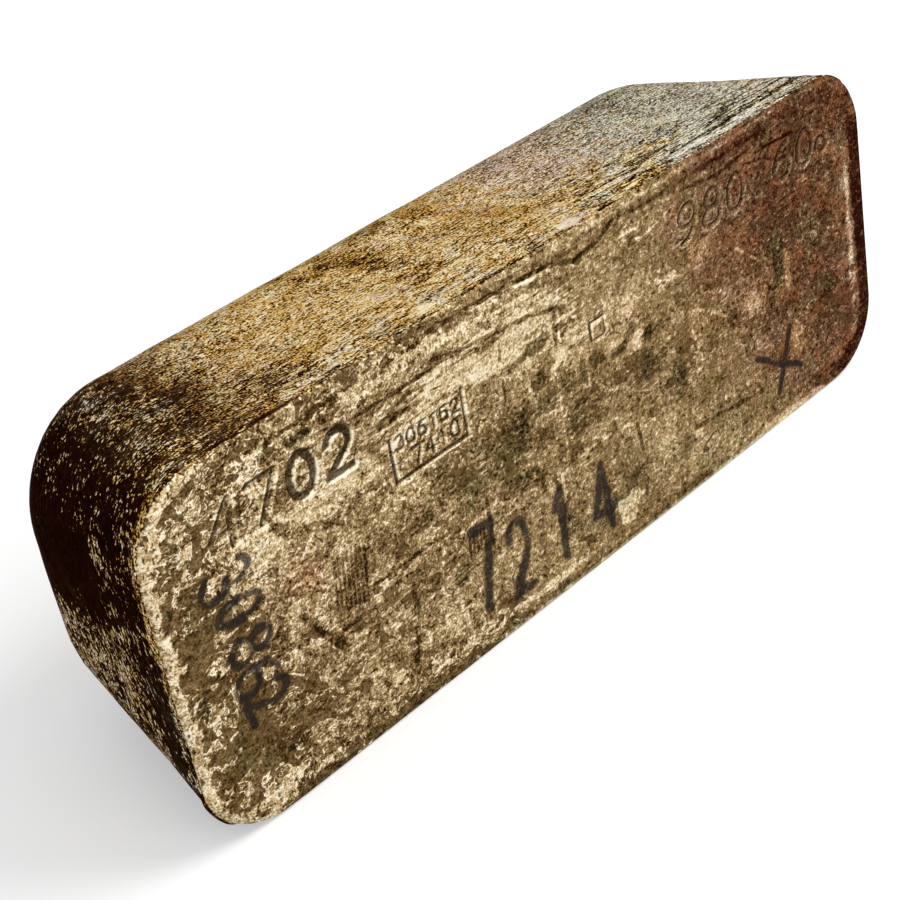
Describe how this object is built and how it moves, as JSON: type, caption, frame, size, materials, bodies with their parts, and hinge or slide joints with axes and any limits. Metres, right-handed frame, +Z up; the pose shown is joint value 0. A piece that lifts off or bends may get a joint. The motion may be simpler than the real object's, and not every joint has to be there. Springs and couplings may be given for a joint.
{
  "type": "metal ingot",
  "caption": "Cast silver bar with drafted sides, corners that open out into a broadly rounded back, and a shallow dished poured face inside a raised lip, standing on one long side.",
  "frame": {"origin": "middle of the bar's box on the ground, under the long side that it stands on", "axes": "+X along the bar, +Y from the poured face towards the back that lay on the mould's floor, +Z up"},
  "size_m": [0.3196, 0.0963, 0.1137],
  "materials": {
    "toned_silver": "satin"
  },
  "bodies": {
    "root": {"ingot": "toned_silver"}
  },
  "joints": []
}
